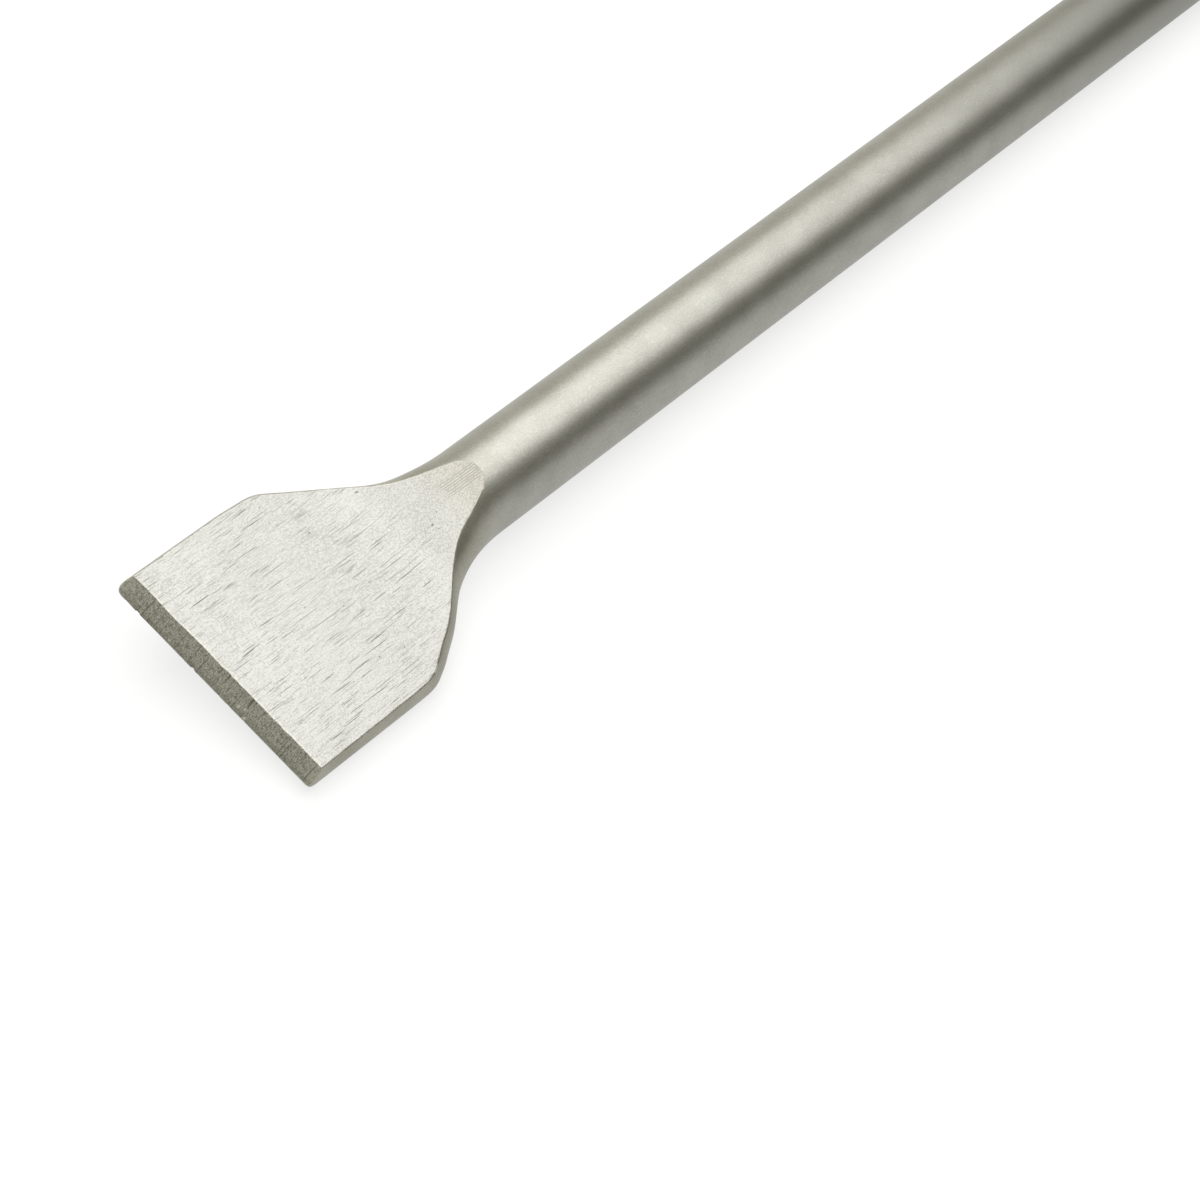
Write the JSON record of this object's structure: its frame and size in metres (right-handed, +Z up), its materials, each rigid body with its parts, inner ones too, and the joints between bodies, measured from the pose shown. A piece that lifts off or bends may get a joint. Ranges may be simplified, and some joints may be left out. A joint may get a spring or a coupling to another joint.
{
  "type": "flat chisel",
  "caption": "Forged flat chisel for a rotary hammer: wide bevelled blade, hollow neck, long round shaft and grooved shank.",
  "frame": {"origin": "on the floor under the middle of the length, the chisel lying on its round shaft with one side of the blade down", "axes": "+X from the cutting edge to the striking end, +Z up; the blade leans about 14.5 degrees round X, its -Y side down"},
  "size_m": [0.4, 0.0486, 0.018],
  "materials": {
    "blasted_steel": "pale shot-blasted satin, bevels ground and darker"
  },
  "bodies": {
    "root": {"flat_chisel": "blasted_steel"}
  },
  "joints": []
}
